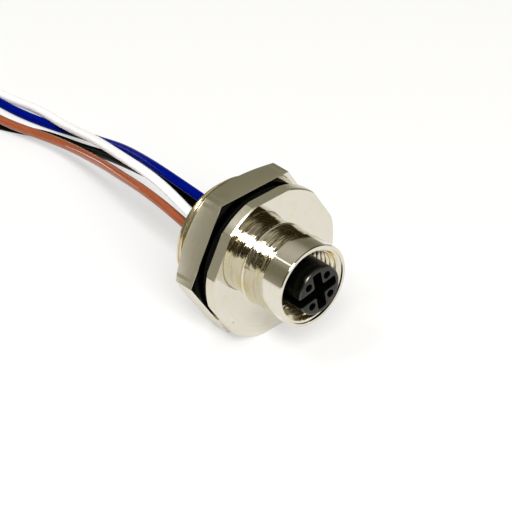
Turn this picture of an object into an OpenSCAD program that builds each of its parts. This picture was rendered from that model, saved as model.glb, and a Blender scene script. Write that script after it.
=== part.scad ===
// Panel receptacle for the M12 circular signal connector: female, four contacts, four single leads.
// The connector axis is X, and the mouth looks along +X. The origin is the centre of the mouth.
// The part lies on a level flat of its two hexagons, which sit at z = -hex_af / 2.

/* [Coupling sleeve] */
// Outer diameter of the sleeve that the plug screws into
sleeve_d = 13.9; // [13.6:0.1:14.6]
// Length of the sleeve, from the mouth to the neck
sleeve_len = 4.1; // [3.4:0.1:4.8]
// Major diameter of the coupling thread, which is cut plain here
coupling_d = 12; // [11.9:0.05:12.1]
// Diameter of the lead-in cone at the mouth
mouth_d = 12.75; // [12.4:0.05:13]

/* [Neck and flange] */
// Diameter of the neck between the sleeve and the flange
neck_d = 13.6; // [13.4:0.1:13.8]
// Distance from the mouth back to the front face of the flange
flange_front = 8.5; // [7.5:0.1:10]
// Thickness of the flange
flange_t = 1.95; // [1.6:0.05:2.4]
// Diameter that the corners of the flange are turned down to
flange_corner_d = 25.2; // [25:0.1:26.5]
// Distance across the flats of the flange and of the nut
hex_af = 24; // [23.5:0.5:24]
// Radius of the fillet where the neck meets the flange
neck_fillet = 0.25; // [0.1:0.05:0.6]

/* [Panel thread] */
// Major diameter of the panel thread, which is cut plain here
panel_thread_d = 20; // [19.8:0.1:20.2]
// Distance from the mouth back to the rear end of the shank
shank_end = 20.9; // [20:0.1:22]
// Width of the relief groove behind the flange, where the seal sits
relief_w = 1.6; // [1.4:0.1:2]

/* [Nut and seal] */
// Thickness of the hexagon nut
nut_t = 4.65; // [4:0.05:5]
// Distance from the mouth back to the front face of the nut
nut_front = 12.42; // [12.3:0.01:12.9]
// Outer diameter of the flat panel seal
seal_d = 23.6; // [23:0.1:23.8]
// Thickness of the flat panel seal
seal_t = 1.35; // [1.2:0.05:1.4]

/* [Contact carrier] */
// Diameter of the carrier's nose
nose_d = 8.2; // [8:0.1:8.4]
// How far the nose stands out of the mouth
nose_out = 1.6; // [0.5:0.1:2]
// Diameter of the circle that the contacts stand on
contact_circle_d = 5.4; // [5.2:0.1:5.7]
// Width of the arms of the plus-shaped recess
arm_w = 1.7; // [1.2:0.1:1.8]
// Turn of the keyway below the level, as seen from the mouth
key_turn = 9; // [0:1:15]

/* [Leads] */
// Diameter of each insulated lead
lead_d = 1.6; // [1.4:0.1:1.6]
// Diameter of the stranded conductor inside each lead
core_d = 0.8; // [0.6:0.1:0.9]
// Length of bare, tinned conductor at the free ends
bare_len = 5; // [3:1:8]

/* [Hidden] */
$fn = 96;
eps = 0.01;

NICKEL = [0.74, 0.72, 0.66];
BLACK_RUBBER = [0.06, 0.06, 0.06];
BLACK_PLASTIC = [0.12, 0.12, 0.12];
GOLD = [0.85, 0.66, 0.3];
TIN = [0.72, 0.72, 0.74];

// housing
mouth_cone = 0.35;
rim_edge = 0.12;
flange_rear = flange_front + flange_t;
flange_edge = 0.2;
shoulder = 9.8;
cavity_d = 16.6;
relief_d = panel_thread_d - 1.9;
thread_lead_in = 0.6;

// nut: the cone that takes its rear corners down
nut_rear = nut_front + nut_t;
nut_bore_d = panel_thread_d + 0.1;
nut_bore_edge = 0.5;
nut_cone_angle = 30;
nut_face_d = hex_af - 0.2;
corner_d = hex_af / cos(30);

// seal: it stays clear of the flange and of the groove, and turns freely
seal_gap = 0.05;
seal_bore_d = relief_d + 0.5;

// carrier: a nose in front, and a base with a collar in the bore, a flange on the shoulder and a boss
nose_edge = 0.15;
collar_front = 7.4;
collar_d = coupling_d - 0.1;
carrier_flange_rear = 12.2;
carrier_flange_d = cavity_d - 0.2;
boss_rear = 14;
boss_d = 11;
o_ring_section = 1;
o_ring_at = 11;
groove_w = 1.2;
arm_reach = 3.4;
recess_depth = 3.2;
key_depth = 1.25;

// contacts: sockets for 1 mm pins, with a solder cup behind
entry_d = 1.3;
entry_depth = 2;
socket_od = 1.7;
socket_bore_d = 1.05;
socket_front = -0.5;
socket_depth = 7.5;
slot_w = 0.2;
slot_len = 4.5;
cup_od = 1.5;
cup_rear = -17.4;
cup_depth = 2;
contact_r = contact_circle_d / 2;
contact_angles = [135, 45, 315, 225];

// retaining ring and potting
ring_t = 1;
ring_bore_d = 12;
potting_rear = 20.2;
potting_front = carrier_flange_rear + ring_t;

// The free leads: they leave the potting, arch over and come down to the surface,
// cross each other and run on to the coil. Across and up at each station along the axis.
floor_z = -hex_af / 2;
stations = [-20.2, -24, -28, -33, -38, -43, -48, -53, -58, -63, -68, -73, -78, -83, -88, -93, -98, -102];
white_run = [[-2.2, 1.6], [-2.2, 1.6], [-1.6, 2], [-0.4, 2], [0.8, 1.5], [1.9, 0.7],
    [3.1, -0.5], [4.5, -1.9], [6.1, -3.5], [7.6, -5.1], [8.8, -6.7], [9.9, -8.2],
    [10.8, -9.4], [11.3, -9.8], [11.5, -10.6], [11.1, -11.2], [10.8, -11.2], [10.5, -11.2]];
blue_run = [[1.6, 2.2], [1.6, 2.2], [1.6, 2.5], [1.9, 2.5], [2.8, 1.8], [4, 0.7],
    [5.5, -0.9], [7, -2.6], [8.3, -4.4], [9.3, -6.3], [10.4, -8.2], [11.3, -9.9],
    [11.4, -11.2], [10.2, -11.2], [9.3, -11.2], [9, -11.2], [8.9, -11.2], [8.8, -11.2]];
brown_run = [[-1.6, -2.2], [-1.6, -2.2], [-1.6, -1.3], [-1.3, -0.6], [-0.7, -0.7], [0.2, -1.4],
    [1.2, -2.5], [2.5, -3.8], [3.8, -5.3], [4.9, -6.7], [5.7, -7.9], [5.9, -8.8],
    [5.5, -9.4], [4.5, -9.6], [3.8, -9.6], [5, -10.4], [6.8, -11.2]];
black_run = [[2.2, -1.6], [2.2, -1.6], [2.3, -0.7], [2.4, 0.1], [2.9, -0.2], [3.6, -1.2],
    [4.6, -2.6], [5.7, -4.2], [7, -6.1], [8.2, -8], [8.9, -9.8], [9.2, -11],
    [8.4, -11.2], [6.1, -11.2], [3.7, -11.2], [3.3, -11.2], [4.4, -11.2]];

// the coil: the four leads lie side by side as a ribbon and rise one lead for each turn
coil_centre = [-106, -1];
coil_inner_r = 5.8;
coil_outer_r = coil_inner_r + 4 * lead_d;
coil_h = 6.4;
tie_w = 3;
tie_t = 0.5;
tie_angle = 200;

// where the sheaths end in the coil: radius, angle and height of each end
lead_end_at = [[11.4, 288, -8.9], [9.8, 17, -7.9], [8.2, 149, -7.9], [6.6, 326, -6.5]];

// A solid of revolution about the X axis, from points [x, r]
module turned(points) {
    rotate([0, 90, 0]) rotate_extrude() polygon([for (p = points) [p[1], p[0]]]);
}

// A round bar along X
module bar(x0, x1, d) {
    translate([x0, 0, 0]) rotate([0, 90, 0]) cylinder(d = d, h = x1 - x0);
}

// A hexagon bar along X with level flats above and below
module hex_bar(x0, x1, af) {
    translate([x0, 0, 0]) rotate([0, 90, 0]) rotate([0, 0, 30]) cylinder(d = af / cos(30), h = x1 - x0, $fn = 6);
}

// Places a child at the contact with this number, 0 to 3
module at_contact(i) {
    a = contact_angles[i] + key_turn;
    translate([0, contact_r * cos(a), contact_r * sin(a)]) children();
}

// The hexagon flange, with its corners turned round and their edges broken
module flange() {
    r = flange_corner_d / 2;
    intersection() {
        hex_bar(-flange_rear, -flange_front, hex_af);
        turned([[-flange_rear, 0], [-flange_rear, r - flange_edge], [-flange_rear + flange_edge, r],
            [-flange_front - flange_edge, r], [-flange_front, r - flange_edge], [-flange_front, 0]]);
    }
}

// The neck, with a fillet at the flange, and the sleeve in front of it
module front_barrel() {
    n = neck_d / 2;
    s = sleeve_d / 2;
    f = neck_fillet;
    turned(concat([[-flange_front - 1, 0], [-flange_front - 1, n + f]],
        [for (a = [0:15:90]) [-flange_front + f * (1 - cos(a)), n + f * (1 - sin(a))]],
        [[-sleeve_len, n], [-sleeve_len, s], [-rim_edge, s], [0, s - rim_edge], [0, 0]]));
}

// The threaded shank behind the flange, with the relief groove for the seal
module shank() {
    r = panel_thread_d / 2;
    g = relief_d / 2;
    turned([[-flange_rear + 0.5, 0], [-flange_rear + 0.5, g], [-flange_rear - relief_w, g],
        [-flange_rear - relief_w - (r - g), r], [-shank_end + thread_lead_in, r],
        [-shank_end, r - thread_lead_in], [-shank_end, 0]]);
}

// One piece turned from hexagon bar: sleeve, neck, flange and hollow threaded shank
module housing() {
    color(NICKEL) difference() {
        union() {
            front_barrel();
            flange();
            shank();
        }
        turned([[-shoulder - eps, 0], [-shoulder - eps, coupling_d / 2], [-mouth_cone, coupling_d / 2],
            [0, mouth_d / 2], [eps, mouth_d / 2], [eps, 0]]);
        bar(-shank_end - eps, -shoulder, cavity_d);
    }
}

module panel_seal() {
    x1 = -flange_rear - seal_gap;
    color(BLACK_RUBBER) difference() {
        bar(x1 - seal_t, x1, seal_d);
        bar(x1 - seal_t - eps, x1 + eps, seal_bore_d);
    }
}

// Hexagon nut: sharp at the front, its rear corners taken down by a cone
module hex_nut() {
    b = nut_bore_d / 2;
    e = nut_bore_edge;
    cone = (corner_d / 2 + 1 - nut_face_d / 2) * tan(nut_cone_angle);
    color(NICKEL) difference() {
        intersection() {
            hex_bar(-nut_rear, -nut_front, hex_af);
            turned([[-nut_rear, 0], [-nut_rear, nut_face_d / 2], [-nut_rear + cone, corner_d / 2 + 1],
                [-nut_front, corner_d / 2 + 1], [-nut_front, 0]]);
        }
        bar(-nut_rear - eps, -nut_front + eps, nut_bore_d);
        turned([[-nut_front - e, 0], [-nut_front - e, b], [-nut_front + eps, b + e + eps], [-nut_front + eps, 0]]);
        turned([[-nut_rear - eps, 0], [-nut_rear - eps, b + e + eps], [-nut_rear + e, b], [-nut_rear + e, 0]]);
    }
}

// The plus-shaped recess in the nose's face. Its fourth arm runs out as the keyway.
module face_recess() {
    translate([nose_out - recess_depth, 0, 0]) {
        translate([0, -arm_w / 2, -arm_reach]) cube([recess_depth + eps, arm_w, 2 * arm_reach]);
        translate([0, -nose_d / 2 - 1, -arm_w / 2]) cube([recess_depth + eps, nose_d / 2 + 1 + arm_reach, arm_w]);
    }
    translate([-collar_front, -nose_d / 2 - 1, -arm_w / 2])
        cube([collar_front + nose_out + eps, 1 + key_depth, arm_w]);
}

// The bores that the contacts stand in, with a narrower entry for the pins
module contact_bores() {
    for (i = [0:3]) at_contact(i) {
        bar(nose_out - entry_depth - eps, nose_out + eps, entry_d);
        bar(-boss_rear - eps, nose_out - entry_depth, socket_od);
    }
}

// The front moulding, which the plug slides over
module contact_carrier() {
    n = nose_d / 2;
    color(BLACK_PLASTIC) difference() {
        turned([[-collar_front, 0], [-collar_front, n], [nose_out - nose_edge, n], [nose_out, n - nose_edge],
            [nose_out, 0]]);
        rotate([key_turn, 0, 0]) face_recess();
        contact_bores();
    }
}

// The rear moulding, which centres the carrier in the housing and holds the O-ring
module carrier_base() {
    c = collar_d / 2;
    color(BLACK_PLASTIC) difference() {
        turned([[-boss_rear, 0], [-boss_rear, boss_d / 2], [-carrier_flange_rear, boss_d / 2],
            [-carrier_flange_rear, carrier_flange_d / 2], [-shoulder, carrier_flange_d / 2], [-shoulder, c],
            [-collar_front, c], [-collar_front, 0]]);
        difference() {
            bar(-o_ring_at - groove_w / 2, -o_ring_at + groove_w / 2, cavity_d);
            bar(-o_ring_at - groove_w, -o_ring_at + groove_w, cavity_d - 2 * o_ring_section);
        }
        contact_bores();
    }
}

// O-ring between the carrier's flange and the housing
module carrier_seal() {
    color(BLACK_RUBBER) translate([-o_ring_at, 0, 0]) rotate([0, 90, 0]) rotate_extrude()
        translate([(cavity_d - o_ring_section) / 2, 0]) circle(d = o_ring_section, $fn = 32);
}

// Ring pressed in behind the carrier's flange
module retaining_ring() {
    color(NICKEL) difference() {
        bar(-potting_front, -carrier_flange_rear, cavity_d);
        bar(-potting_front - eps, -carrier_flange_rear + eps, ring_bore_d);
    }
}

// Resin that seals the rear of the housing around the contacts and the leads
module potting() {
    color(BLACK_PLASTIC) difference() {
        bar(-potting_rear, -potting_front, cavity_d);
        bar(-boss_rear, -potting_front + eps, boss_d);
        for (i = [0:3]) at_contact(i) {
            bar(cup_rear, -boss_rear + eps, cup_od);
            bar(-potting_rear - eps, cup_rear + eps, core_d);
        }
    }
}

// A slotted socket for a 1 mm pin, with its solder cup
module socket_contact(i) {
    color(GOLD) at_contact(i) difference() {
        union() {
            bar(-boss_rear, socket_front, socket_od);
            bar(cup_rear, -boss_rear + eps, cup_od);
        }
        bar(socket_front - socket_depth, socket_front + eps, socket_bore_d);
        bar(cup_rear - eps, cup_rear + cup_depth, core_d);
        translate([socket_front - slot_len, -socket_od, -slot_w / 2]) cube([slot_len + eps, 2 * socket_od, slot_w]);
        translate([socket_front - slot_len, -slot_w / 2, -socket_od]) cube([slot_len + eps, slot_w, 2 * socket_od]);
    }
}

// The tinned core, from the bottom of its solder cup to the face of the potting
module conductor(i) {
    color(TIN) at_contact(i) bar(-potting_rear, cup_rear + cup_depth, core_d);
}

function unit(v) = v / norm(v);
function route(run) = [for (i = [0:len(run) - 1]) [stations[i], run[i][0], run[i][1]]];
function heading(p, i) = unit(p[min(i + 1, len(p) - 1)] - p[max(i - 1, 0)]);
function ring_at(p, i, r, sides) = let (t = heading(p, i), s = unit(cross([0, 0, 1], t)), u = cross(t, s))
    [for (k = [0:sides - 1]) p[i] + r * (cos(360 * k / sides) * s + sin(360 * k / sides) * u)];

// A plain tube through the points of a route
module tube(p, d, sides = 8) {
    last = len(p) - 1;
    polyhedron(
        points = [for (i = [0:last]) each ring_at(p, i, d / 2, sides)],
        faces = concat(
            [[for (k = [0:sides - 1]) k]],
            [for (i = [0:last - 1]) for (k = [0:sides - 1]) let (a = i * sides, n = (k + 1) % sides)
                [a + k, a + sides + k, a + sides + n, a + n]],
            [[for (k = [sides - 1:-1:0]) last * sides + k]]));
}

module lead_blue() {
    color([0.02, 0.12, 0.6]) tube(route(blue_run), lead_d);
}

module lead_white() {
    color([0.93, 0.93, 0.93]) tube(route(white_run), lead_d);
}

module lead_brown() {
    color([0.6, 0.3, 0.2]) tube(route(brown_run), lead_d);
}

module lead_black() {
    color([0.08, 0.08, 0.08]) tube(route(black_run), lead_d);
}

// The outer shape of the ribbon of leads, wound up
module lead_coil() {
    color([0.3, 0.32, 0.4]) translate([coil_centre[0], coil_centre[1], floor_z]) rotate_extrude()
        translate([coil_inner_r, 0]) square([coil_outer_r - coil_inner_r, coil_h]);
}

// A band round the coil's turns
module coil_tie() {
    w = coil_outer_r - coil_inner_r;
    color([0.1, 0.1, 0.1]) translate([coil_centre[0], coil_centre[1], floor_z]) rotate([0, 0, tie_angle])
        difference() {
            translate([coil_inner_r - tie_t, -tie_w / 2, 0]) cube([w + 2 * tie_t, tie_w, coil_h + tie_t]);
            translate([coil_inner_r, -tie_w, tie_t]) cube([w, 2 * tie_w, coil_h - tie_t]);
        }
}

// The stripped and tinned ends of the four leads
module lead_ends() {
    color(TIN) for (e = lead_end_at)
        translate([coil_centre[0] + e[0] * cos(e[1]), coil_centre[1] + e[0] * sin(e[1]), e[2]])
            rotate([0, 90, e[1] + 90]) cylinder(d = core_d, h = bare_len);
}

housing();
panel_seal();
hex_nut();
contact_carrier();
carrier_base();
carrier_seal();
retaining_ring();
potting();
socket_contact(0);  // socket_contact_1
socket_contact(1);  // socket_contact_2
socket_contact(2);  // socket_contact_3
socket_contact(3);  // socket_contact_4
conductor(0);  // conductor_1
conductor(1);  // conductor_2
conductor(2);  // conductor_3
conductor(3);  // conductor_4
lead_blue();
lead_white();
lead_brown();
lead_black();
lead_coil();
coil_tie();
lead_ends();
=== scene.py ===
"""Looks of the M12 panel receptacle and its four leads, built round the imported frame.

+X runs out of the mating mouth, +Z is up, and the part lies on its hexagons.
Sizes in the builders are in millimetres and are turned into metres in the meshes.
"""

import logging
import math
from dataclasses import dataclass, field
from enum import Enum
from typing import Callable, Dict, List, Optional, Sequence, Tuple, Union

import bmesh
import bpy
from mathutils import Matrix, Vector


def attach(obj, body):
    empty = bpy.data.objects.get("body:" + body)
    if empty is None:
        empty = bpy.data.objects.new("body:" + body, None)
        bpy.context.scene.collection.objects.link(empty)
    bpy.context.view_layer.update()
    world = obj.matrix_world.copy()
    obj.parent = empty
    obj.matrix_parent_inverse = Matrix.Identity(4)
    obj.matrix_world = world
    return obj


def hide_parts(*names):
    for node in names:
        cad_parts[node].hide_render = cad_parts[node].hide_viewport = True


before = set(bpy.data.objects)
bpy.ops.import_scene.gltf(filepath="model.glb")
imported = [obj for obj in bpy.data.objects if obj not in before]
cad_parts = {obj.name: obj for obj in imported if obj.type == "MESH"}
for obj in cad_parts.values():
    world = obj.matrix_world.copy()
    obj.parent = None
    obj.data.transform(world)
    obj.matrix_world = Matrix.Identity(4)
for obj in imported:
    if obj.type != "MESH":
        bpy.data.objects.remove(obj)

MM = 0.001
LOG = logging.getLogger("receptacle")
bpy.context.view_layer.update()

Material, Node, Socket, Piece = bpy.types.Material, bpy.types.Node, bpy.types.NodeSocket, bpy.types.Object
Mesh, Vert = bmesh.types.BMesh, bmesh.types.BMVert
Point = Tuple[float, float, float]
Outline = Sequence[Tuple[float, float]]
Colour = Tuple[float, float, float, float]
Feed = Union[Socket, float, Sequence[float]]
Inputs = Dict[Union[str, int], Feed]


def rgb(red: float, green: float, blue: float) -> Colour:
    """Returns an opaque linear colour."""
    return (red, green, blue, 1.0)


RING_TINT = rgb(0.5, 0.38, 0.2)
PIT_TINT = rgb(0.2, 0.17, 0.11)
GLOSS_TINT = rgb(1.0, 0.96, 0.84)
FRONT_TINT = rgb(0.032, 0.022, 0.006)
RING_SLANT = 1.37  # how far the rings move on along the axis for each millimetre of radius


# ---- shader graphs


@dataclass
class Graph:
    """Places and joins the nodes of one shader tree."""

    tree: bpy.types.NodeTree

    def add(self, kind: str, inputs: Optional[Inputs] = None, **settings) -> Node:
        """Adds a node of a kind, sets its settings, such as its operation, and gives it its inputs."""
        node = self.tree.nodes.new(kind)
        for name, value in settings.items():
            setattr(node, name, value)
        self.give(node, inputs or {})
        return node

    def give(self, node: Node, inputs: Inputs) -> None:
        """Sets a node's inputs, by name or number, or joins sockets to them."""
        for key, value in inputs.items():
            if isinstance(value, Socket):
                self.tree.links.new(value, node.inputs[key])
            else:
                node.inputs[key].default_value = value

    def calc(self, operation: str, a: Feed, b: Feed = 0.0, clamp: bool = False) -> Socket:
        """Returns the result of one Math node."""
        return self.add("ShaderNodeMath", {0: a, 1: b}, operation=operation, use_clamp=clamp).outputs[0]

    def times(self, a: Feed, b: Feed) -> Socket:
        """Returns a times b."""
        return self.calc("MULTIPLY", a, b)

    def plus(self, a: Feed, b: Feed, clamp: bool = False) -> Socket:
        """Returns a plus b."""
        return self.calc("ADD", a, b, clamp)

    def ease(self, value: Feed, low: Feed, high: Feed) -> Socket:
        """Returns a smooth step from 0 at low to 1 at high."""
        given = {"Value": value, "From Min": low, "From Max": high}
        return self.add("ShaderNodeMapRange", given, interpolation_type="SMOOTHSTEP").outputs[0]

    def blend(self, mask: Feed, a: Feed, b: Feed) -> Socket:
        """Returns colour a where the mask is 0 and colour b where it is 1."""
        node = self.add("ShaderNodeMix", data_type="RGBA")
        self.give(node, {0: mask, 6: a, 7: b})
        return node.outputs[2]

    def noise(self, vector: Feed, scale: Feed, detail: float = 2.0, rough: float = 0.5) -> Socket:
        """Returns the value of a noise texture."""
        given = {"Vector": vector, "Scale": scale, "Detail": detail, "Roughness": rough}
        return self.add("ShaderNodeTexNoise", given).outputs["Fac"]

    def vector(self, x: Feed, y: Feed, z: Feed) -> Socket:
        """Returns a vector joined from three values."""
        return self.add("ShaderNodeCombineXYZ", {0: x, 1: y, 2: z}).outputs[0]

    def vector_calc(self, operation: str, a: Feed, b: Feed = (0.0, 0.0, 0.0)) -> Socket:
        """Returns the vector that one Vector Math node makes."""
        return self.add("ShaderNodeVectorMath", {0: a, 1: b}, operation=operation).outputs[0]

    def length(self, x: Feed, y: Feed, z: Feed) -> Socket:
        """Returns the length of a vector joined from three values."""
        node = self.add("ShaderNodeVectorMath", {0: self.vector(x, y, z)}, operation="LENGTH")
        return node.outputs["Value"]

    def place(self) -> Socket:
        """Returns the place on the piece, in metres."""
        return self.add("ShaderNodeTexCoord").outputs["Object"]

    def parts(self, vector: Feed) -> Sequence[Socket]:
        """Returns the three parts of a vector."""
        return self.add("ShaderNodeSeparateXYZ", {0: vector}).outputs

    def mix(self, share: Feed, a: Feed, b: Feed) -> Socket:
        """Returns shader a where the share is 0 and shader b where it is 1."""
        return self.add("ShaderNodeMixShader", {0: share, 1: a, 2: b}).outputs[0]

    def seen(self, path: Sequence[Socket]) -> Socket:
        """Returns 1 for rays that come straight from the camera or through a clear piece."""
        return self.calc("MAXIMUM", path["Is Camera Ray"], path["Is Transmission Ray"])

    def bump(self, shader: Node, height: Feed) -> None:
        """Gives a shader the relief of a height in millimetres."""
        node = self.add("ShaderNodeBump", {"Strength": 1.0, "Distance": MM, "Height": height})
        self.give(shader, {"Normal": node.outputs[0]})


class Effect(Enum):
    """Effects that more than one finish uses, each one a node group."""

    TURNING = "turning_marks"
    SCRATCHES = "fine_scratches"
    PITS = "plating_pits"
    PATCHES = "tone_patches"


@dataclass
class EffectLibrary:
    """Builds each shared node group once."""

    groups: Dict[Effect, bpy.types.NodeTree] = field(default_factory=dict)

    def get(self, effect: Effect) -> bpy.types.NodeTree:
        """Returns the group of an effect, and builds it at its first use."""
        if effect not in self.groups:
            build = {Effect.TURNING: self._turning, Effect.SCRATCHES: self._scratches, Effect.PITS: self._pits,
                     Effect.PATCHES: self._patches}[effect]
            self.groups[effect] = build(effect.value)
        return self.groups[effect]

    def place(self, graph: Graph, effect: Effect, **values: float) -> Socket:
        """Places an effect in a tree, with the values of its inputs by name, and returns its mask."""
        return graph.add("ShaderNodeGroup", values, node_tree=self.get(effect)).outputs[0]

    @staticmethod
    def _start(name: str, inputs: Dict[str, float]) -> Tuple[Graph, Dict[str, Socket], Node]:
        """Makes an empty group with one output called Mask, and with inputs of these default values by name.

        Returns:
            The graph, the inputs as sockets by name, and the output node.
        """
        tree = bpy.data.node_groups.new(name, "ShaderNodeTree")
        for key, value in inputs.items():
            socket = tree.interface.new_socket(name=key, in_out="INPUT", socket_type="NodeSocketFloat")
            socket.default_value = value
        tree.interface.new_socket(name="Mask", in_out="OUTPUT", socket_type="NodeSocketFloat")
        graph = Graph(tree)
        entry = graph.add("NodeGroupInput")
        return graph, {key: entry.outputs[key] for key in inputs}, graph.add("NodeGroupOutput")

    @staticmethod
    def _axial(graph: Graph) -> Tuple[Socket, Socket, Socket]:
        """Returns the place along the axis in mm, the radius in mm and the angle in radians."""
        parts = graph.parts(graph.place())
        radius = graph.length(0.0, parts[1], parts[2])
        return graph.times(parts[0], 1 / MM), graph.times(radius, 1 / MM), graph.calc("ARCTAN2", parts[2], parts[1])

    def _turning(self, name: str) -> bpy.types.NodeTree:
        """Rings round the axis, left by a turning tool, uneven in depth and a little broken."""
        graph, given, out = self._start(name, {"Per mm": 8.0, "Broken": 1.5})
        along, radius, angle = self._axial(graph)
        step = graph.times(graph.plus(along, graph.times(radius, RING_SLANT)), given["Per mm"])
        turned = [graph.times(graph.calc(wave, angle), given["Broken"]) for wave in ("SINE", "COSINE")]
        graph.give(out, {0: graph.noise(graph.vector(step, *turned), 1.0, 3.0, 0.65)})
        return graph.tree

    def _scratches(self, name: str) -> bpy.types.NodeTree:
        """Thin short scratches that run every way."""
        graph, given, out = self._start(name, {"Per mm": 1.2, "Amount": 0.5})
        place = graph.place()
        warp = graph.add("ShaderNodeTexNoise", {"Vector": place, "Scale": 500.0, "Detail": 1.0}).outputs["Color"]
        bent = graph.vector_calc("ADD", place, graph.vector_calc("MULTIPLY", warp, (1.4 * MM,) * 3))
        cells = {"Vector": bent, "Scale": graph.times(given["Per mm"], 1 / MM)}
        lines = graph.add("ShaderNodeTexVoronoi", cells, feature="DISTANCE_TO_EDGE")
        thin = graph.calc("SUBTRACT", 1.0, graph.ease(lines.outputs["Distance"], 0.0, 0.03))
        patch = graph.ease(graph.noise(place, 700.0), 0.5, 0.62)
        graph.give(out, {0: graph.times(graph.times(thin, patch), given["Amount"])})
        return graph.tree

    def _pits(self, name: str) -> bpy.types.NodeTree:
        """Small pits and specks in the plating, few and far between."""
        graph, given, out = self._start(name, {"Spacing mm": 2.2, "Size": 0.07, "Share": 0.25})
        grid = {"Vector": graph.place(), "Scale": graph.calc("DIVIDE", 1 / MM, given["Spacing mm"])}
        cells = graph.add("ShaderNodeTexVoronoi", grid, feature="F1")
        near = graph.calc("LESS_THAN", cells.outputs["Distance"], given["Size"])
        tone = graph.add("ShaderNodeSeparateColor", {0: cells.outputs["Color"]}).outputs[0]
        graph.give(out, {0: graph.times(near, graph.calc("LESS_THAN", tone, given["Share"]))})
        return graph.tree

    def _patches(self, name: str) -> bpy.types.NodeTree:
        """Soft patches of tone, as handling and plating leave them."""
        graph, given, out = self._start(name, {"Size mm": 3.0, "Low": 0.45, "High": 0.7})
        tone = graph.noise(graph.place(), graph.calc("DIVIDE", 1 / MM, given["Size mm"]), 3.0, 0.6)
        graph.give(out, {0: graph.ease(tone, given["Low"], given["High"])})
        return graph.tree


EFFECTS = EffectLibrary()


def blank_graph(owner: Union[Material, bpy.types.World]) -> Graph:
    """Returns the emptied node graph of a material or a world."""
    owner.use_nodes = True
    owner.node_tree.nodes.clear()
    return Graph(owner.node_tree)


def start_material(name: str) -> Tuple[Material, Graph, Node]:
    """Makes a material with one Principled shader, and returns it with its graph and its shader."""
    material = bpy.data.materials.new(name)
    material.use_nodes = True
    graph = Graph(material.node_tree)
    return material, graph, material.node_tree.nodes["Principled BSDF"]


@dataclass(frozen=True)
class PlatedMetal:
    """Nickel plating over turned or milled brass.

    tone is the plating's own colour; stain the colour of thin plating and of handling. The rings and the ripple
    give the relief, streaks colours the rings, and drawn_out stretches the ripple round the axis. Below the height
    polished_below, in mm, the relief is nearly gone.
    """

    name: str
    tone: Colour = rgb(0.74, 0.71, 0.63)
    stain: Colour = rgb(0.68, 0.63, 0.47)
    stain_share: float = 0.5
    roughness: float = 0.12
    rings_per_mm: float = 8.0
    ring_depth: float = 0.0
    ripple_mm: float = 0.0
    ripple_size_mm: float = 1.2
    drawn_out: float = 1.0
    streaks: float = 0.12
    scratches: float = 0.3
    pits: float = 0.0
    polished_below: Optional[float] = None

    def build(self) -> Material:
        """Returns the finish as a material."""
        material, graph, shader = start_material(self.name)
        patches = EFFECTS.place(graph, Effect.PATCHES, **{"Size mm": 2.8, "Low": 0.48, "High": 0.72})
        rings = EFFECTS.place(graph, Effect.TURNING, **{"Per mm": self.rings_per_mm, "Broken": 1.6})
        lines = EFFECTS.place(graph, Effect.SCRATCHES, **{"Per mm": 0.9, "Amount": self.scratches})
        colour = graph.blend(graph.times(patches, self.stain_share), self.tone, self.stain)
        colour = graph.blend(graph.times(graph.ease(rings, 0.5, 0.7), self.streaks), colour, RING_TINT)
        if self.pits:
            spots = EFFECTS.place(graph, Effect.PITS, **{"Spacing mm": 2.1, "Size": 0.085, "Share": self.pits})
            colour = graph.blend(graph.times(spots, 0.75), colour, PIT_TINT)
        rough = graph.plus(graph.times(rings, 0.35 * self.roughness), 0.8 * self.roughness)
        rough = graph.plus(rough, graph.times(lines, 0.22), True)
        graph.give(shader, {"Base Color": colour, "Metallic": 1.0, "Roughness": rough})
        height = graph.times(rings, self.ring_depth)
        height = graph.calc("SUBTRACT", height, graph.times(lines, 0.0015))
        if self.ripple_mm:
            drawn = graph.vector_calc("MULTIPLY", graph.place(), (1.0, 1 / self.drawn_out, 1 / self.drawn_out))
            wave = graph.noise(drawn, 1 / (MM * self.ripple_size_mm), 1.0)
            height = graph.plus(height, graph.times(wave, self.ripple_mm))
        if self.polished_below is not None:
            parts = graph.parts(graph.place())
            worn = graph.ease(parts[2], self.polished_below * MM, (self.polished_below + 1.6) * MM)
            side = graph.calc("SUBTRACT", 1.0, graph.times(graph.ease(parts[1], -1.5 * MM, 2.0 * MM), 0.8))
            worn = graph.times(graph.times(worn, side), 0.93)
            height = graph.times(height, graph.plus(worn, 0.07))
        graph.bump(shader, height)
        return material


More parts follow.
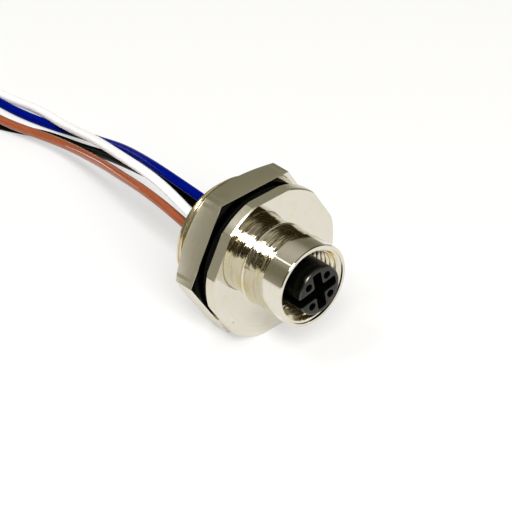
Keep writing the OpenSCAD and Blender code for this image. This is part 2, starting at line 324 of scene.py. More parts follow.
@dataclass(frozen=True)
class Moulding:
    """Moulded, cast or rubber material with a fine grain and worn, paler patches."""

    name: str
    tone: Colour
    worn: Colour
    roughness: float = 0.4
    grain_mm: float = 0.08
    grain_depth: float = 0.01
    coat: float = 0.0
    gloss: float = 0.5
    face_from: Optional[float] = None
    rim_from: float = 3.85
    fade: float = 0.1
    face_gloss: float = 0.34
    rim_gloss: float = 0.5

    def build(self) -> Material:
        """Returns the finish as a material, with a glossier face and rim where face_from is given in mm."""
        material, graph, shader = start_material(self.name)
        place = graph.place()
        look = {"Specular IOR Level": self.gloss, "Coat Weight": self.coat, "Coat Roughness": 0.08}
        if self.face_from is not None:
            parts = graph.parts(place)
            face = graph.ease(parts[0], self.face_from * MM, (self.face_from + self.fade) * MM)
            radius = graph.length(0.0, parts[1], parts[2])
            rim = graph.ease(radius, self.rim_from * MM, (self.rim_from + self.fade) * MM)
            lift = graph.plus(self.face_gloss, graph.times(rim, self.rim_gloss))
            look["Specular IOR Level"] = graph.plus(self.gloss, graph.times(face, lift))
            look["Specular Tint"] = GLOSS_TINT
        patches = EFFECTS.place(graph, Effect.PATCHES, **{"Size mm": 1.6, "Low": 0.4, "High": 0.8})
        lines = EFFECTS.place(graph, Effect.SCRATCHES, **{"Per mm": 1.4, "Amount": 0.5})
        look["Base Color"] = graph.blend(graph.calc("MAXIMUM", patches, lines), self.tone, self.worn)
        look["Roughness"] = graph.plus(graph.times(patches, 0.12), self.roughness - 0.05)
        graph.give(shader, look)
        graph.bump(shader, graph.times(graph.noise(place, 1 / (MM * self.grain_mm)), self.grain_depth))
        return material


@dataclass(frozen=True)
class Sheath:
    """Extruded insulation: smooth and glossy, with faint drawn streaks and a slightly uneven tone."""

    name: str
    tone: Colour
    shade: Colour
    roughness: float = 0.14
    gloss: float = 0.3

    def build(self) -> Material:
        """Returns the finish as a material."""
        material, graph, shader = start_material(self.name)
        parts = graph.parts(graph.place())
        drawn = graph.vector(graph.times(parts[0], 120.0), *[graph.times(part, 3200.0) for part in parts[1:3]])
        streaks = graph.noise(drawn, 1.0)
        patches = EFFECTS.place(graph, Effect.PATCHES, **{"Size mm": 4.0, "Low": 0.4, "High": 0.7})
        graph.give(shader, {
            "Base Color": graph.blend(graph.ease(streaks, 0.35, 0.7), self.tone, self.shade),
            "Roughness": graph.plus(graph.times(patches, 0.03), self.roughness),
            "Specular IOR Level": self.gloss,
        })
        graph.bump(shader, graph.times(streaks, 0.0012))
        return material


class Finish(Enum):
    """Every finish on the part."""

    SLEEVE = PlatedMetal("polished_nickel", roughness=0.09, rings_per_mm=3.0, ring_depth=0.0006, ripple_mm=0.004,
                         ripple_size_mm=2.5, scratches=0.25)
    NECK = PlatedMetal("turned_nickel", roughness=0.12, rings_per_mm=2.6, ring_depth=0.09, ripple_mm=0.15,
                       ripple_size_mm=0.9, drawn_out=2.4, scratches=0.8, tone=rgb(0.72, 0.69, 0.57),
                       stain=rgb(0.7, 0.62, 0.37), stain_share=0.8, streaks=0.6, polished_below=2.6)
    FACE = PlatedMetal("faced_nickel", roughness=0.045, rings_per_mm=6.0, ring_depth=0.0002, ripple_mm=0.001,
                       ripple_size_mm=2.5, scratches=0.12, pits=0.3, stain=rgb(0.71, 0.67, 0.53))
    FLAT = PlatedMetal("milled_nickel", roughness=0.3, rings_per_mm=5.0, ring_depth=0.003, scratches=0.5,
                       tone=rgb(0.71, 0.68, 0.57), stain=rgb(0.66, 0.62, 0.47))
    THREAD = PlatedMetal("thread_nickel", roughness=0.14, rings_per_mm=9.0, ring_depth=0.002, scratches=0.4,
                         tone=rgb(0.74, 0.69, 0.56), stain=rgb(0.66, 0.52, 0.28), stain_share=0.9)
    BORE = PlatedMetal("bored_nickel", roughness=0.2, rings_per_mm=7.0, ring_depth=0.004, scratches=0.2)
    SEAL = Moulding("black_rubber", rgb(0.001, 0.0012, 0.001), rgb(0.003, 0.003, 0.003), 0.6, gloss=0.03)
    INSERT = Moulding("black_moulding", rgb(0.0008, 0.0014, 0.0008), rgb(0.002, 0.002, 0.0016), 0.24, 0.1, 0.004,
                      gloss=0.08, face_from=1.3)
    RESIN = Moulding("cast_resin", rgb(0.01, 0.01, 0.011), rgb(0.018, 0.018, 0.018), 0.15, 0.8, 0.03, 0.5)
    TIE = Moulding("tie_plastic", rgb(0.01, 0.01, 0.01), rgb(0.02, 0.02, 0.02), 0.4, 0.15, 0.008)
    GOLD = PlatedMetal("gold_plating", tone=rgb(0.86, 0.62, 0.24), stain=rgb(0.75, 0.5, 0.16), roughness=0.2)
    TINNED = PlatedMetal("tinned_copper", tone=rgb(0.72, 0.7, 0.68), stain=rgb(0.6, 0.5, 0.42), roughness=0.3,
                         ripple_mm=0.01, ripple_size_mm=0.3)
    BLUE = Sheath("blue_sheath", rgb(0.0, 0.004, 0.17), rgb(0.0, 0.006, 0.2), gloss=0.01)
    WHITE = Sheath("white_sheath", rgb(0.96, 0.95, 0.97), rgb(0.98, 0.97, 0.99), 0.26)
    BROWN = Sheath("brown_sheath", rgb(0.29, 0.07, 0.024), rgb(0.34, 0.085, 0.031), 0.045, 0.4)
    BLACK = Sheath("black_sheath", rgb(0.0015, 0.002, 0.0015), rgb(0.003, 0.003, 0.003), 0.26, 0.01)


@dataclass
class Paintbox:
    """Builds each finish once and puts it on pieces."""

    made: Dict[Finish, Material] = field(default_factory=dict)

    def get(self, finish: Finish) -> Material:
        """Returns the material of a finish."""
        if finish not in self.made:
            self.made[finish] = finish.value.build()
        return self.made[finish]

    def coat(self, piece: Piece, *finishes: Finish) -> None:
        """Gives a piece these finishes, in the order of its material slots."""
        for finish in finishes:
            piece.data.materials.append(self.get(finish))

    def coat_node(self, node: str, finish: Finish) -> None:
        """Gives a CAD node one finish."""
        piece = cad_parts[node]
        for spot in piece.material_slots:
            spot.material = self.get(finish)
        if not piece.material_slots:
            piece.data.materials.append(self.get(finish))
        LOG.info("finished %s with %s", node, finish.value.name)


PAINT = Paintbox()


# ---- mesh helpers


def add_object(name: str, data: bpy.types.ID) -> Piece:
    """Puts a new object with this data into the scene."""
    made = bpy.data.objects.new(name, data)
    bpy.context.scene.collection.objects.link(made)
    return made


def radius_of(vert: Vert) -> float:
    """Returns a vertex's distance from the connector axis, in millimetres."""
    return math.hypot(vert.co.y, vert.co.z) / MM


def centre_of(face: bmesh.types.BMFace) -> Tuple[float, float]:
    """Returns where the middle of a face lies along the axis, and its radius, in millimetres."""
    centre = face.calc_center_median()
    return centre.x / MM, math.hypot(centre.y, centre.z) / MM


def closed_ring(mesh: Mesh, points: Outline) -> List[Vert]:
    """Adds the points (x, r) in millimetres, joined by edges into a ring, and returns their vertices."""
    verts = [mesh.verts.new((x * MM, r * MM, 0.0)) for x, r in points]
    for i, vert in enumerate(verts):
        mesh.edges.new((verts[i - 1], vert))
    return verts


def spun(profile: Outline, steps: int = 192) -> Mesh:
    """Spins the section of a wall, as points (x, r) in millimetres, round the connector axis into a closed solid."""
    mesh = bmesh.new()
    verts = closed_ring(mesh, profile)
    bmesh.ops.spin(mesh, geom=verts + mesh.edges[:], cent=(0, 0, 0), axis=(1, 0, 0), angle=math.tau, steps=steps,
                   use_merge=True, use_duplicate=False)
    bmesh.ops.remove_doubles(mesh, verts=mesh.verts, dist=1e-7)
    bmesh.ops.recalc_face_normals(mesh, faces=mesh.faces)
    return mesh


def thread_ridge(section: Outline, pitch: float, span: Tuple[float, float],
                 limit: Callable[[float, float], float], offset: float = 0.0, steps: int = 96) -> Mesh:
    """Winds the section of a thread's ridge into a right-hand helix, cut square at both ends.

    Args:
        section: Points (x, r) of the ridge's closed section about its own middle, in millimetres.
        pitch: Advance for each turn.
        span: Where the ridge starts and ends along the axis.
        limit: Returns the radius that a point at (x, r) may have, for the lead-in and the run-out. A point behind the
            middle that it stops slides towards the section's first point, and any other towards its last. Each
            vertex is also set exactly on its step, because the spin's rounding would spoil the cuts.
        offset: Shift along the axis, as a share of the pitch.
        steps: Faces for each turn.
    """
    first = span[0] - 1.5 * pitch + offset * pitch
    turns = math.ceil((span[1] - first) / pitch + 1.5)
    mesh = bmesh.new()
    number = mesh.verts.layers.int.new("point of the section")
    verts = closed_ring(mesh, [(first + x, r) for x, r in section])
    for i, vert in enumerate(verts):
        vert[number] = i
    bmesh.ops.spin(mesh, geom=verts + mesh.edges[:], cent=(0, 0, 0), axis=(1, 0, 0), dvec=(pitch * MM / steps, 0, 0),
                   angle=math.tau * turns, steps=steps * turns, use_merge=False, use_duplicate=False)
    for vert in mesh.verts:
        x, r = section[vert[number]]
        step = round((vert.co.x / MM - first - x) * steps / pitch)
        start, angle = first + pitch * step / steps, math.tau * step / steps
        stop_x, stop_r = section[0] if x < 0 else section[-1]
        along, kept = start + x, limit(start + x, r)
        if abs(kept - r) > 1e-6 and abs(stop_r - r) > 1e-6:
            share = min(1.0, max(0.0, (kept - stop_r) / (r - stop_r)))
            along = start + stop_x + (x - stop_x) * share
        vert.co = (along * MM, kept * MM * math.cos(angle), kept * MM * math.sin(angle))
    fill_open(mesh)
    for place, side in ((span[0], -1.0), (span[1], 1.0)):
        bmesh.ops.bisect_plane(mesh, geom=mesh.verts[:] + mesh.edges[:] + mesh.faces[:], dist=1e-8,
                               plane_co=(place * MM, 0, 0), plane_no=(side, 0, 0), clear_outer=True)
        fill_open(mesh)
    bmesh.ops.recalc_face_normals(mesh, faces=mesh.faces)
    return mesh


def inner_section(foot_r: float, crest_r: float, *places: float) -> List[Tuple[float, float]]:
    """Returns an inner ridge's section from its foot, flank and crest half-widths, rear foot first."""
    foot, flank, crest = places
    return [(-foot, foot_r), (foot, foot_r), (flank, crest_r + 0.03), (crest, crest_r), (-crest, crest_r),
            (-flank, crest_r + 0.03)]


def fill_open(mesh: Mesh) -> None:
    """Closes every open loop of edges with a face."""
    rim = [edge for edge in mesh.edges if edge.is_boundary]
    if rim:
        bmesh.ops.holes_fill(mesh, edges=rim, sides=0)


def flatten_hexagon(mesh: Mesh, across: float, corner: float, above: float) -> None:
    """Moves a turned solid's vertices onto the six flats of a hexagon with a level top.

    Args:
        across: Distance across the flats, in millimetres.
        corner: Diameter that the corners are turned to.
        above: Only vertices beyond this radius are moved.
    """
    half = across / 2
    edge_angle = math.acos(min(1.0, across / corner))
    step = math.radians(1.0)
    for vert in mesh.verts:
        radius = radius_of(vert)
        if radius <= above:
            continue
        angle = math.atan2(vert.co.z, vert.co.y)
        flat = math.radians(30 + 60 * round((math.degrees(angle) - 30) / 60))
        turn = angle - flat
        if abs(abs(turn) - edge_angle) < step:
            turn = math.copysign(edge_angle, turn)
        radius = min(radius, half / math.cos(turn))
        vert.co.y = radius * MM * math.cos(flat + turn)
        vert.co.z = radius * MM * math.sin(flat + turn)


def break_edges(mesh: Mesh, width: float, least: float,
                wanted: Optional[Callable[[bmesh.types.BMEdge], bool]] = None) -> None:
    """Rounds the sharp edges of a mesh.

    Args:
        width: Width of the rounding, in millimetres.
        least: Smallest angle between two faces that counts as an edge, in degrees.
        wanted: Picks among those edges; all of them where it is left out.
    """
    edges = [
        edge for edge in mesh.edges
        if len(edge.link_faces) == 2 and edge.calc_face_angle(0.0) > math.radians(least)
        and (wanted is None or wanted(edge))
    ]
    bmesh.ops.bevel(mesh, geom=edges, offset=width * MM, offset_type="OFFSET", affect="EDGES", segments=2,
                    profile=0.5, material=-1, clamp_overlap=True)


def merge_into(mesh: Mesh, other: Mesh, slot: int) -> None:
    """Adds another mesh's shells to a mesh, in this material slot, and frees the other one."""
    for face in other.faces:
        face.material_index = slot
    carrier = bpy.data.meshes.new("carrier")
    other.to_mesh(carrier)
    mesh.from_mesh(carrier)
    bpy.data.meshes.remove(carrier)
    other.free()


def make_piece(name: str, mesh: Mesh, body: str, finishes: Sequence[Finish],
               replaces: Sequence[str] = (), crease: float = 22.0) -> Piece:
    """Turns a bmesh into a finished piece that rides on a body, and frees the bmesh.

    Args:
        finishes: Its finishes, in the order of the faces' material slots.
        replaces: CAD nodes that it stands for.
        crease: Angle in degrees from which an edge shows sharp.
    """
    data = bpy.data.meshes.new(name)
    mesh.to_mesh(data)
    mesh.free()
    data.shade_smooth()
    data.set_sharp_from_angle(angle=math.radians(crease))
    piece = add_object(name, data)
    PAINT.coat(piece, *finishes)
    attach(piece, body)
    if replaces:
        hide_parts(*replaces)
    LOG.info("made %s: %d faces, on %s", name, len(data.polygons), body)
    return piece


# ---- metal parts


@dataclass
class Housing:
    """The body turned from hexagon bar: sleeve, neck, flange and threaded shank."""

    rim_edge: float = 0.12
    sleeve_r: float = 6.95
    sleeve_len: float = 4.1
    neck_r: float = 6.8
    fillet: float = 0.25
    flange_front: float = 8.5
    flange_rear: float = 10.45
    corner_d: float = 25.2
    across: float = 24.0
    flange_edge: float = 0.2
    relief_r: float = 9.05
    relief_rear: float = 12.05
    root_r: float = 9.08
    thread_r: float = 10.0
    pitch: float = 1.5
    shank_end: float = 20.9
    lead_in: float = 0.6
    cavity_r: float = 8.3
    shoulder: float = 9.8
    bore_r: float = 6.0
    coupling_crest_r: float = 5.46
    coupling_pitch: float = 1.0
    mouth_r: float = 6.375
    mouth_cone: float = 0.35
    coupling_end: float = 7.3
    hexagon_from: float = 11.5

    def profile(self) -> List[Tuple[float, float]]:
        """Returns the wall's section as points (x, r)."""
        corner, edge = self.corner_d / 2, self.flange_edge
        front, rear, end = -self.flange_front, -self.flange_rear, -self.shank_end
        sleeve, relief, shoulder, cone = -self.sleeve_len, -self.relief_rear, -self.shoulder, -self.mouth_cone
        neck_foot = [(front + self.fillet * (1 - math.sin(math.radians(a))),
                      self.neck_r + self.fillet * (1 - math.cos(math.radians(a)))) for a in range(0, 91, 15)]
        return [
            (0, self.mouth_r), (0, self.sleeve_r - self.rim_edge), (-self.rim_edge, self.sleeve_r),
            (-2.0, self.sleeve_r), (sleeve + 0.05, self.sleeve_r), (sleeve, self.sleeve_r - 0.05),
            (sleeve, self.neck_r), (-6.2, self.neck_r), *neck_foot, (front, 9.6), (front, corner - edge),
            (front - edge, corner), (rear + edge, corner), (rear, corner - edge), (rear, self.relief_r),
            (relief, self.relief_r), (relief - 0.05, self.root_r), (end, self.root_r), (end, self.cavity_r + 0.15),
            (end + 0.15, self.cavity_r), (shoulder, self.cavity_r), (shoulder, self.bore_r), (cone, self.bore_r),
            (cone + 0.06, self.mouth_r - 0.06),
        ]

    def finish_of(self, face: bmesh.types.BMFace) -> int:
        """Returns the material slot of a face, from its place on the body."""
        along, radius = centre_of(face)
        if along < -self.shoulder and radius < self.cavity_r + 0.1 or radius < self.bore_r + 0.1:
            return 5
        if along > -self.sleeve_len - 0.02:
            return 0
        if along > -self.flange_front + 0.001:
            return 1
        if along > -self.flange_rear - 0.001:
            return 3 if abs(face.normal.x) < 0.95 and radius > 11 else 2
        return 4

    def panel_limit(self, along: float, radius: float) -> float:
        """Returns the panel thread's radius at a point, with its lead-in and run-out."""
        lead = self.thread_r - self.lead_in + (along + self.shank_end)
        run = self.relief_r - (along + self.relief_rear)
        return max(self.relief_r - 0.1, min(radius, lead, run))

    def coupling_limit(self, along: float, radius: float) -> float:
        """Returns the coupling thread's radius at a point, opened by the cone at the mouth."""
        cone = self.mouth_r + along * (self.mouth_r - self.bore_r) / self.mouth_cone
        return min(self.bore_r + 0.05, max(radius, cone))

    def build(self) -> Piece:
        """Returns the finished body."""
        mesh = spun(self.profile())
        flatten_hexagon(mesh, self.across, self.corner_d, self.hexagon_from)
        break_edges(mesh, 0.05, 60, lambda e: min(radius_of(v) for v in e.verts) > self.hexagon_from)
        for face in mesh.faces:
            face.material_index = self.finish_of(face)
        half = [(-0.63, self.root_r - 0.05), (-0.105, self.thread_r - 0.03), (-0.05, self.thread_r)]
        outer = half + [(-x, r) for x, r in reversed(half)]
        span = (-self.shank_end, -self.relief_rear - 0.05)
        merge_into(mesh, thread_ridge(outer, self.pitch, span, self.panel_limit), 4)
        inner = inner_section(self.bore_r + 0.05, self.coupling_crest_r, 0.48, 0.09, 0.05)
        span = (-self.coupling_end, -self.mouth_cone + 0.02)
        merge_into(mesh, thread_ridge(inner, self.coupling_pitch, span, self.coupling_limit), 4)
        finishes = (Finish.SLEEVE, Finish.NECK, Finish.FACE, Finish.FLAT, Finish.THREAD, Finish.BORE)
        return make_piece("housing_body", mesh, "housing", finishes, ["housing"])


@dataclass
class PanelNut:
    """The hexagon nut, with its inner thread and rear corners taken down."""

    across: float = 24.0
    front: float = 12.42
    rear: float = 17.07
    face_r: float = 11.9
    cone_angle: float = 30.0
    bore_r: float = 10.05
    crest_r: float = 9.24
    edge: float = 0.5
    pitch: float = 1.5
    cone_from: float = 1.2
    hexagon_from: float = 11.95

    def limit(self, along: float, radius: float) -> float:
        """Returns the nut thread's radius at a point, opened by the chamfers at both faces."""
        rear = self.bore_r + self.edge - (along + self.rear)
        front = self.bore_r + self.edge + (along + self.front)
        return min(self.bore_r + 0.05, max(radius, rear, front))

    def build(self) -> Piece:
        """Returns the finished nut."""
        corner = self.across / math.sqrt(3)
        mesh = spun([
            (-self.front, self.bore_r + self.edge), (-self.front, 11.7), (-self.front, corner),
            (-self.rear + self.cone_from, corner), (-self.rear, self.face_r), (-self.rear, self.bore_r + self.edge),
            (-self.rear + self.edge, self.bore_r), (-self.front - self.edge, self.bore_r),
        ])
        edge_x = (-self.rear + self.cone_from) * MM
        flatten_hexagon(mesh, self.across, 2 * corner, self.hexagon_from)
        slope = math.tan(math.radians(self.cone_angle))
        for vert in mesh.verts:
            if abs(vert.co.x - edge_x) < 1e-7:
                vert.co.x = (-self.rear + (radius_of(vert) - self.face_r) * slope) * MM
        break_edges(mesh, 0.07, 40, lambda e: min(radius_of(v) for v in e.verts) > self.hexagon_from)
        for face in mesh.faces:
            side = abs(face.normal.x) < 0.4
            face.material_index = 2 if centre_of(face)[1] < self.bore_r + self.edge + 0.05 else (0 if side else 1)
        ridge = inner_section(self.bore_r + 0.05, self.crest_r, 0.68, 0.2, 0.16)
        merge_into(mesh, thread_ridge(ridge, self.pitch, (-self.rear, -self.front), self.limit, self.phase()), 2)
        finishes = (Finish.FLAT, Finish.FACE, Finish.THREAD)
        return make_piece("panel_nut", mesh, "nut", finishes, ["hex_nut"])

    def phase(self) -> float:
        """Returns the shift that puts the nut's ridge midway between the shank's."""
        return ((self.rear - Housing().shank_end) / self.pitch + 0.5) % 1.0


@dataclass
class PanelSeal:
    """The flat rubber ring between the flange and the panel."""

    outer_r: float = 11.8
    inner_r: float = 9.3
    front: float = 10.5
    rear: float = 11.85
    round_off: float = 0.18

    def build(self) -> Piece:
        """Returns the finished seal."""
        edge, bulge = self.round_off, 0.3 * self.round_off
        mesh = spun([
            (-self.front, self.inner_r), (-self.front, self.outer_r - edge),
            (-self.front - bulge, self.outer_r - bulge), (-self.front - edge, self.outer_r),
            (-self.rear + edge, self.outer_r), (-self.rear + bulge, self.outer_r - bulge),
            (-self.rear, self.outer_r - edge), (-self.rear, self.inner_r),
        ], 128)
        return make_piece("flat_seal", mesh, "seal", [Finish.SEAL], ["panel_seal"])


# ---- insert


@dataclass
class Insert:
    """The moulded carrier, its contacts and the sealed rear."""

    rounding: float = 0.12
    corner: float = 0.3
    front_from: float = 1.3
    dressed: Dict[str, Finish] = field(default_factory=lambda: {
        "carrier_base": Finish.INSERT, "carrier_seal": Finish.SEAL, "retaining_ring": Finish.BORE,
        "potting": Finish.RESIN, **{f"socket_contact_{i}": Finish.GOLD for i in range(1, 5)},
        **{f"conductor_{i}": Finish.TINNED for i in range(1, 5)},
    })

    def is_recess_corner(self, edge: bmesh.types.BMEdge) -> bool:
        """Tells whether an edge is an upright corner of the plus-shaped recess, but not of its keyway."""
        a, b = (vert.co / MM for vert in edge.verts)
        upright = math.hypot(a.y - b.y, a.z - b.z) < 0.01 and abs(a.x - b.x) > 1.0
        return upright and max(a.x, b.x) > self.front_from and 1.0 < math.hypot(a.y, a.z) < 3.7

    def build(self) -> Piece:
        """Returns the front moulding, and finishes the pieces behind it."""
        mesh = bmesh.new()
        mesh.from_mesh(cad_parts["contact_carrier"].data)
        bmesh.ops.remove_doubles(mesh, verts=mesh.verts, dist=1e-6)
        bmesh.ops.dissolve_limit(mesh, angle_limit=math.radians(0.5), verts=mesh.verts, edges=mesh.edges)
        break_edges(mesh, self.corner, 40, self.is_recess_corner)
        break_edges(mesh, self.rounding, 40, lambda e: min(v.co.x for v in e.verts) > self.front_from * MM)
        piece = make_piece("contact_insert", mesh, "housing", [Finish.INSERT], ["contact_carrier"])
        for node, finish in self.dressed.items():
            PAINT.coat_node(node, finish)
        return piece


# ---- leads


@dataclass
class CoilPlan:
    """How the four leads lie in the round coil.

    swing sets the spline's points that much outside the turn that they shape.
    """

    centre: Tuple[float, float] = (-106.0, -1.0)
    ground: float = -11.2
    layer: float = 1.65
    rise_from: float = 0.4
    rise_to: float = 0.75
    tie_angle: float = 200.0
    tie_lift: float = 0.4
    tie_reach: float = 16.0
    points_a_turn: int = 16
    swing: float = 1.026

    def height(self, turns: float) -> float:
        """Returns the height of a lead after this many turns."""
        whole, part = divmod(turns, 1.0)
        share = min(1.0, max(0.0, (part - self.rise_from) / (self.rise_to - self.rise_from)))
        away = ((90 + 360 * part - self.tie_angle + 180) % 360 - 180) / self.tie_reach
        lift = self.tie_lift * math.exp(-away * away)
        return self.ground + self.layer * (whole + share * share * (3 - 2 * share)) + lift

    def at(self, radius: float, turns: float) -> Point:
        """Returns the place on a turn of this radius, in millimetres."""
        angle = math.radians(90 + 360 * turns)
        x, y = self.centre
        return (x + radius * math.cos(angle), y + radius * math.sin(angle), self.height(turns))


@dataclass
class Lead:
    """One insulated lead: its run along the surface, its turns in the coil and its bare end."""

    colour: str
    finish: Finish
    run: Outline
    extra: Sequence[Point]
    coil_r: float
    turns: float
    end_angle: float
    end_height: float
    diameter: float = 1.6
    core_d: float = 0.8
    bare: float = 5.0
    total: float = 200.0

    def path(self, stations: Sequence[float], coil: CoilPlan) -> List[Point]:
        """Returns the points of the whole lead, from the resin to the end of its sheath."""
        points = [(x, y, z) for x, (y, z) in zip(stations, self.run)] + list(self.extra)
        count = round(self.turns * coil.points_a_turn)
        turns = [coil.at(self.coil_r * coil.swing, self.turns * i / count) for i in range(1, count)]
        return points + turns + [coil.at(self.coil_r, self.turns)]

    def bare_end(self, coil: CoilPlan) -> Piece:
        """Returns the stripped end: seven tinned strands, twisted together."""
        angle = math.radians(self.end_angle)
        out = Vector((math.cos(angle), math.sin(angle), 0.0))
        along = Vector((-math.sin(angle), math.cos(angle), 0.0))
        start = Vector((coil.centre[0], coil.centre[1], self.end_height)) + out * self.coil_r
        strand = self.core_d / 6
        mesh = bmesh.new()
        for k in range(7):
            ring = 0.0 if k == 6 else 2 * strand
            made = bmesh.ops.create_circle(mesh, cap_ends=False, segments=8, radius=strand * MM)["verts"]
            bmesh.ops.translate(mesh, verts=made, vec=(ring * MM, 0, 0))
            bmesh.ops.rotate(mesh, verts=made, cent=(0, 0, 0), matrix=Matrix.Rotation(math.tau * k / 6, 3, "Z"))
            edges = list({edge for vert in made for edge in vert.link_edges})
            bmesh.ops.spin(mesh, geom=made + edges, cent=(0, 0, 0), axis=(0, 0, 1), dvec=(0, 0, self.bare * MM / 40),
                           angle=math.tau * 1.5, steps=40, use_merge=False, use_duplicate=False)
        fill_open(mesh)
        turn = Matrix((out, Vector((0, 0, 1)), along)).transposed()
        bmesh.ops.rotate(mesh, verts=mesh.verts, cent=(0, 0, 0), matrix=turn)
        bmesh.ops.translate(mesh, verts=mesh.verts, vec=start * MM)
        bmesh.ops.recalc_face_normals(mesh, faces=mesh.faces)
        return make_piece(f"bare_end_{self.colour}", mesh, "housing", [Finish.TINNED], ["lead_ends"])

    def build(self, stations: Sequence[float], coil: CoilPlan) -> Piece:
        """Returns the lead as one round tube along a smooth open spline."""
        points = self.path(stations, coil)
        name = f"lead_run_{self.colour}"
        curve = bpy.data.curves.new(name, "CURVE")
        curve.dimensions = "3D"
        curve.bevel_depth = self.diameter / 2 * MM
        curve.bevel_resolution = 6
        curve.resolution_u = 6
        curve.use_fill_caps = True
        spline = curve.splines.new("NURBS")
        spline.points.add(len(points) - 1)
        for knot, place in zip(spline.points, points):
            knot.co = (Vector(place) * MM).to_4d()
        spline.order_u = 4
        spline.use_endpoint_u = True
        piece = add_object(name, curve)
        curve.materials.append(PAINT.get(self.finish))
        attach(piece, "housing")
        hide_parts(f"lead_{self.colour}", "lead_coil")
        end = self.bare_end(coil)
        tuple(v * MM for v in points[0])
        LOG.info("made %s: %d points", name, len(points))
        return piece


@dataclass
class LeadSet:
    """The four leads, their shared stations and the tie that holds the coil."""

    stations: Tuple[float, ...] = (-20.2, -24, -28, -33, -38, -43, -48, -53, -58, -63, -68, -73, -78, -83, -88, -93,
                                   -98, -102)
    coil: CoilPlan = field(default_factory=CoilPlan)

    def leads(self) -> List[Lead]:
        """Returns the four leads."""
        white = [(-2.2, 1.6), (-2.2, 1.6), (-1.6, 2), (-0.4, 2), (0.8, 1.5), (1.9, 0.7), (3.1, -0.5), (4.5, -1.9),
                 (6.1, -3.5), (7.6, -5.1), (8.8, -6.7), (9.9, -8.2), (10.8, -9.4), (11.3, -9.8), (11.5, -10.6),
                 (11.1, -11.2), (10.8, -11.2), (10.5, -11.2)]
        blue = [(1.6, 2.2), (1.6, 2.2), (1.6, 2.5), (1.9, 2.5), (2.8, 1.8), (4, 0.7), (5.5, -0.9), (7, -2.6),
                (8.3, -4.4), (9.3, -6.3), (10.4, -8.2), (11.3, -9.9), (11.4, -11.2), (10.2, -11.2), (9.3, -11.2),
                (9, -11.2), (8.9, -11.2), (8.8, -11.2)]
        brown = [(-1.6, -2.2), (-1.6, -2.2), (-1.6, -1.3), (-1.3, -0.6), (-0.7, -0.7), (0.2, -1.4), (1.2, -2.5),
                 (2.5, -3.8), (3.8, -5.3), (4.9, -6.7), (5.7, -7.9), (5.9, -8.8), (5.5, -9.4), (4.5, -9.6),
                 (3.8, -9.6), (5, -10.4), (6.8, -11.2)]
        black = [(2.2, -1.6), (2.2, -1.6), (2.3, -0.7), (2.4, 0.1), (2.9, -0.2), (3.6, -1.2), (4.6, -2.6),
                 (5.7, -4.2), (7, -6.1), (8.2, -8), (8.9, -9.8), (9.2, -11), (8.4, -11.2), (6.1, -11.2),
                 (3.7, -11.2), (3.3, -11.2), (4.4, -11.2)]
        low = self.coil.ground
        return [
            Lead("white", Finish.WHITE, white, [(-106, 10.4, low)], 11.4, 1.55, 288, -8.9),
            Lead("blue", Finish.BLUE, blue, [(-106, 8.8, low)], 9.8, 1.797, 17, -7.9),
            Lead("brown", Finish.BROWN, brown, [(-102, 7.1, low), (-106, 7.2, low)], 8.2, 2.164, 149, -7.9),
            Lead("black", Finish.BLACK, black, [(-102, 5.2, low), (-106, 5.6, low)], 6.6, 2.656, 326, -6.5),
        ]

    def tie(self) -> Piece:
        """Returns the soft band round the coil's turns, with its edges rounded."""
        inner_r, outer_r, low, high, thick, width = 5.3, 12.7, -12.0, -5.9, 0.45, 3.0
        outline = [(inner_r, low), (outer_r, low), (outer_r, high - 1.7), (outer_r - 1.2, high - 1.2),
                   (outer_r - 3.9, high), (inner_r, high)]
        mesh = bmesh.new()
        verts = [mesh.verts.new((r * MM, -width / 2 * MM, z * MM)) for r, z in outline]
        face = mesh.faces.new(verts)
        ring = bmesh.ops.inset_region(mesh, faces=[face], thickness=thick * MM, use_boundary=True,
                                      use_even_offset=True)["faces"]
        bmesh.ops.delete(mesh, geom=[face], context="FACES_ONLY")
        grown = bmesh.ops.extrude_face_region(mesh, geom=ring)["geom"]
        bmesh.ops.translate(mesh, verts=[g for g in grown if isinstance(g, Vert)], vec=(0, width * MM, 0))
        bmesh.ops.recalc_face_normals(mesh, faces=mesh.faces)
        break_edges(mesh, 0.14, 25)
        bmesh.ops.rotate(mesh, verts=mesh.verts, cent=(0, 0, 0),
                         matrix=Matrix.Rotation(math.radians(self.coil.tie_angle), 3, "Z"))
        bmesh.ops.translate(mesh, verts=mesh.verts, vec=(self.coil.centre[0] * MM, self.coil.centre[1] * MM, 0))
        return make_piece("tie_band", mesh, "housing", [Finish.TIE], ["coil_tie"], 35.0)

    def build(self) -> None:
        """Builds the leads and the tie."""
        for lead in self.leads():
            lead.build(self.stations, self.coil)
        self.tie()


# ---- studio


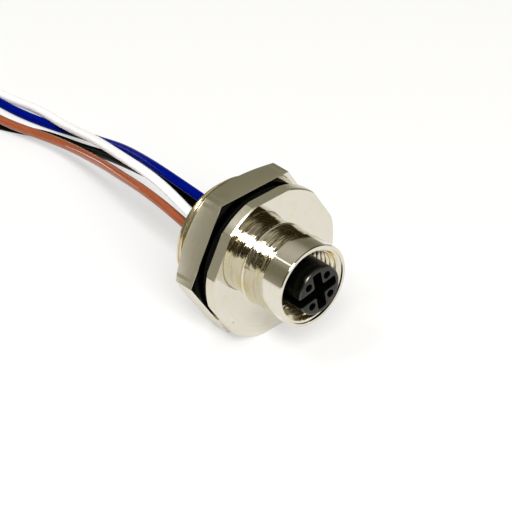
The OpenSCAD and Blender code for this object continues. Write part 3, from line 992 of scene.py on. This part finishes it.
@dataclass
class Studio:
    """Camera, floor, lamps and surroundings."""

    eye: Point = (210.633, -190.958, 206.118)
    right: Point = (0.66844, 0.74287, -0.03661)
    up: Point = (-0.40807, 0.40744, 0.81699)
    back: Point = (0.62183, -0.53116, 0.57549)
    lens: float = 162.0
    ground: float = -12.0
    floor_size: float = 4.0

    def camera(self) -> None:
        """Sets the camera."""
        data = bpy.data.cameras.new("camera")
        data.sensor_width = 36.0
        data.lens = self.lens
        data.clip_start, data.clip_end = 0.01, 20.0
        camera = add_object("camera", data)
        turn = Matrix((self.right, self.up, self.back)).transposed().to_4x4()
        camera.matrix_world = Matrix.Translation(Vector(self.eye) * MM) @ turn
        bpy.context.scene.camera = camera

    def floor(self) -> None:
        """Makes the pale floor, which keeps the object's shadow."""
        mesh = bmesh.new()
        bmesh.ops.create_grid(mesh, x_segments=8, y_segments=8, size=self.floor_size / 2)
        bmesh.ops.translate(mesh, verts=mesh.verts, vec=(0, 0, (self.ground - 0.02) * MM))
        data = bpy.data.meshes.new("floor")
        mesh.to_mesh(data)
        mesh.free()
        piece = add_object("floor", data)
        material = bpy.data.materials.new("pale_floor")
        graph = blank_graph(material)
        path = graph.add("ShaderNodeLightPath").outputs
        paper = graph.add("ShaderNodeBsdfDiffuse", {"Color": rgb(0.82, 0.82, 0.82)}).outputs[0]
        glow = graph.add("ShaderNodeEmission", {"Color": rgb(1, 1, 1), "Strength": 1.03}).outputs[0]
        mirror_glow = graph.add("ShaderNodeEmission", {"Color": rgb(1, 0.985, 0.95), "Strength": 0.98}).outputs[0]
        mirrored = graph.mix(path["Is Glossy Ray"], paper, graph.mix(0.6, paper, mirror_glow))
        both = graph.mix(graph.seen(path), mirrored, graph.mix(0.5, paper, glow))
        graph.add("ShaderNodeOutputMaterial", {"Surface": both})
        data.materials.append(material)

    @staticmethod
    def lamp(name: str, place: Point, size: Tuple[float, float], radiance: float) -> None:
        """Adds one soft rectangular lamp that faces the mouth, with a radiance where 1 is white.

        Its first side lies along the connector axis, or across it where the lamp hangs near the axis itself.
        """
        data = bpy.data.lights.new(name, "AREA")
        data.shape = "RECTANGLE"
        data.size, data.size_y = size[0] * MM, size[1] * MM
        data.energy = radiance * math.pi * data.size * data.size_y
        lamp = add_object(name, data)
        away = Vector(place).normalized()
        first = Vector((1, 0, 0)) if abs(away.x) < 0.9 else Vector((0, 1, 0))
        level = (first - away * away.dot(first)).normalized()
        lamp.matrix_world = Matrix((level, away.cross(level), away)).transposed().to_4x4()
        lamp.location = Vector(place) * MM

    def surroundings(self) -> None:
        """Sets a dim room round the table: grey walls, darker in front, bright towards the ceiling."""
        world = bpy.data.worlds.new("studio")
        bpy.context.scene.world = world
        graph = blank_graph(world)
        way = graph.parts(graph.add("ShaderNodeTexCoord").outputs["Generated"])
        ramp = graph.add("ShaderNodeValToRGB", {0: way[2]})
        stops = [(0.0, (0.36, 0.34, 0.28)), (0.16, (0.27, 0.25, 0.18)), (0.34, (0.2, 0.19, 0.13)),
                 (0.56, (0.21, 0.195, 0.13)), (0.7, (0.42, 0.4, 0.32)), (0.8, (0.55, 0.53, 0.46)),
                 (0.92, (0.6, 0.59, 0.55))]
        band = ramp.color_ramp
        while len(band.elements) < len(stops):
            band.elements.new(1.0)
        for element, (place, colour) in zip(band.elements, stops):
            element.position = place
            element.color = rgb(*colour)
        ahead = graph.calc("DIVIDE", way[0], graph.calc("MAXIMUM", graph.length(way[0], way[1], 0.0), 0.01))
        low = graph.calc("SUBTRACT", 1.0, graph.ease(way[2], 0.62, 0.82))
        front = graph.times(graph.ease(ahead, 0.3, 0.55), low)
        walls = graph.blend(front, ramp.outputs[0], FRONT_TINT)
        shown = graph.blend(graph.seen(graph.add("ShaderNodeLightPath").outputs), walls, rgb(1, 1, 1))
        backdrop = graph.add("ShaderNodeBackground", {"Color": shown, "Strength": 1.0}).outputs[0]
        graph.add("ShaderNodeOutputWorld", {"Surface": backdrop})

    def build(self) -> None:
        """Builds the studio."""
        self.camera()
        self.floor()
        self.surroundings()
        for name, place, size, radiance in (
            ("key_softbox", (434, -238, 494), (640, 172), 17.5),
            ("window_strip", (-430, -215, 430), (150, 26), 1.8),
            ("side_softbox", (-190, -225, 580), (120, 200), 11.0),
            ("low_back_strip", (-870, -110, 44), (520, 100), 4.0),
        ):
            self.lamp(name, place, size, radiance)
        bpy.context.scene.view_settings.view_transform = "Standard"
        LOG.info("studio ready")


def main() -> None:
    """Builds the studio, the leads, the metal parts and the insert."""
    logging.basicConfig(level=logging.INFO, format="%(message)s")
    Studio().build()
    LeadSet().build()
    for builder in (Housing(), PanelNut(), PanelSeal(), Insert()):
        builder.build()


if __name__ == "__main__":
    main()
